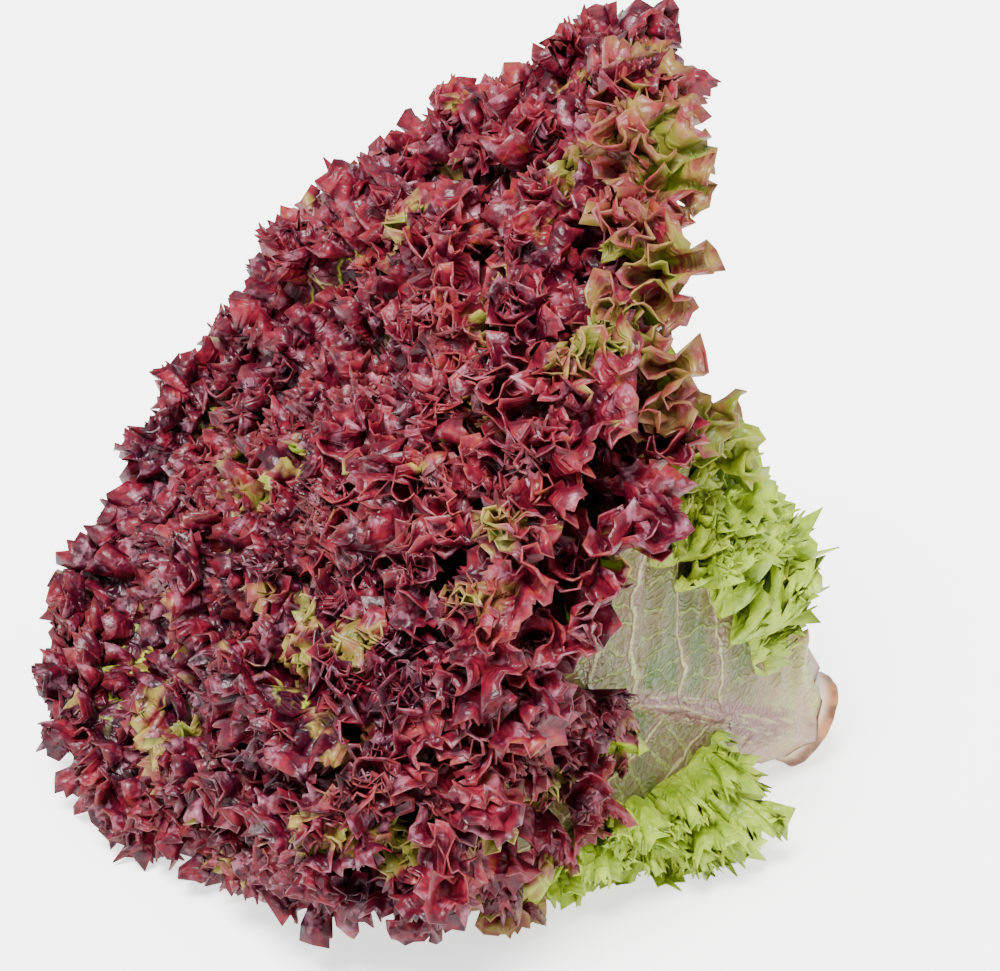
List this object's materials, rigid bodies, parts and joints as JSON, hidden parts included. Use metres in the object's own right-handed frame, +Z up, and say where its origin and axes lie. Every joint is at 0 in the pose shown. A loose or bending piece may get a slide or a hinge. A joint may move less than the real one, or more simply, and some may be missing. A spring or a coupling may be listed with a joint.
{
  "type": "lollo rosso lettuce",
  "caption": "Loose head of frilled red-leaf lettuce lying on its side, burgundy crown to one side, trimmed stem to the other.",
  "frame": {"origin": "middle of the small flat on the stem's lowest edge, on the surface that the head lies on", "axes": "+Z up, away from that surface; the crown faces -X and the trimmed stem end +X"},
  "size_m": [0.2181, 0.2844, 0.2263],
  "materials": {
    "stem": "moist cut plant stem",
    "leaf": "satin leaf, green at the rib and burgundy at the frills"
  },
  "bodies": {
    "root": {"stem": "stem", "leaf_01": "leaf", "leaf_02": "leaf", "leaf_03": "leaf", "leaf_04": "leaf", "leaf_05": "leaf", "leaf_06": "leaf", "leaf_07": "leaf", "leaf_08": "leaf", "leaf_09": "leaf", "leaf_10": "leaf", "leaf_11": "leaf", "leaf_12": "leaf", "leaf_13": "leaf", "leaf_14": "leaf", "leaf_15": "leaf", "leaf_16": "leaf", "leaf_17": "leaf", "leaf_18": "leaf", "leaf_19": "leaf", "leaf_20": "leaf", "leaf_21": "leaf", "leaf_22": "leaf", "leaf_23": "leaf", "leaf_24": "leaf", "leaf_25": "leaf", "leaf_26": "leaf", "leaf_27": "leaf", "leaf_28": "leaf", "heart": "leaf"}
  },
  "joints": []
}
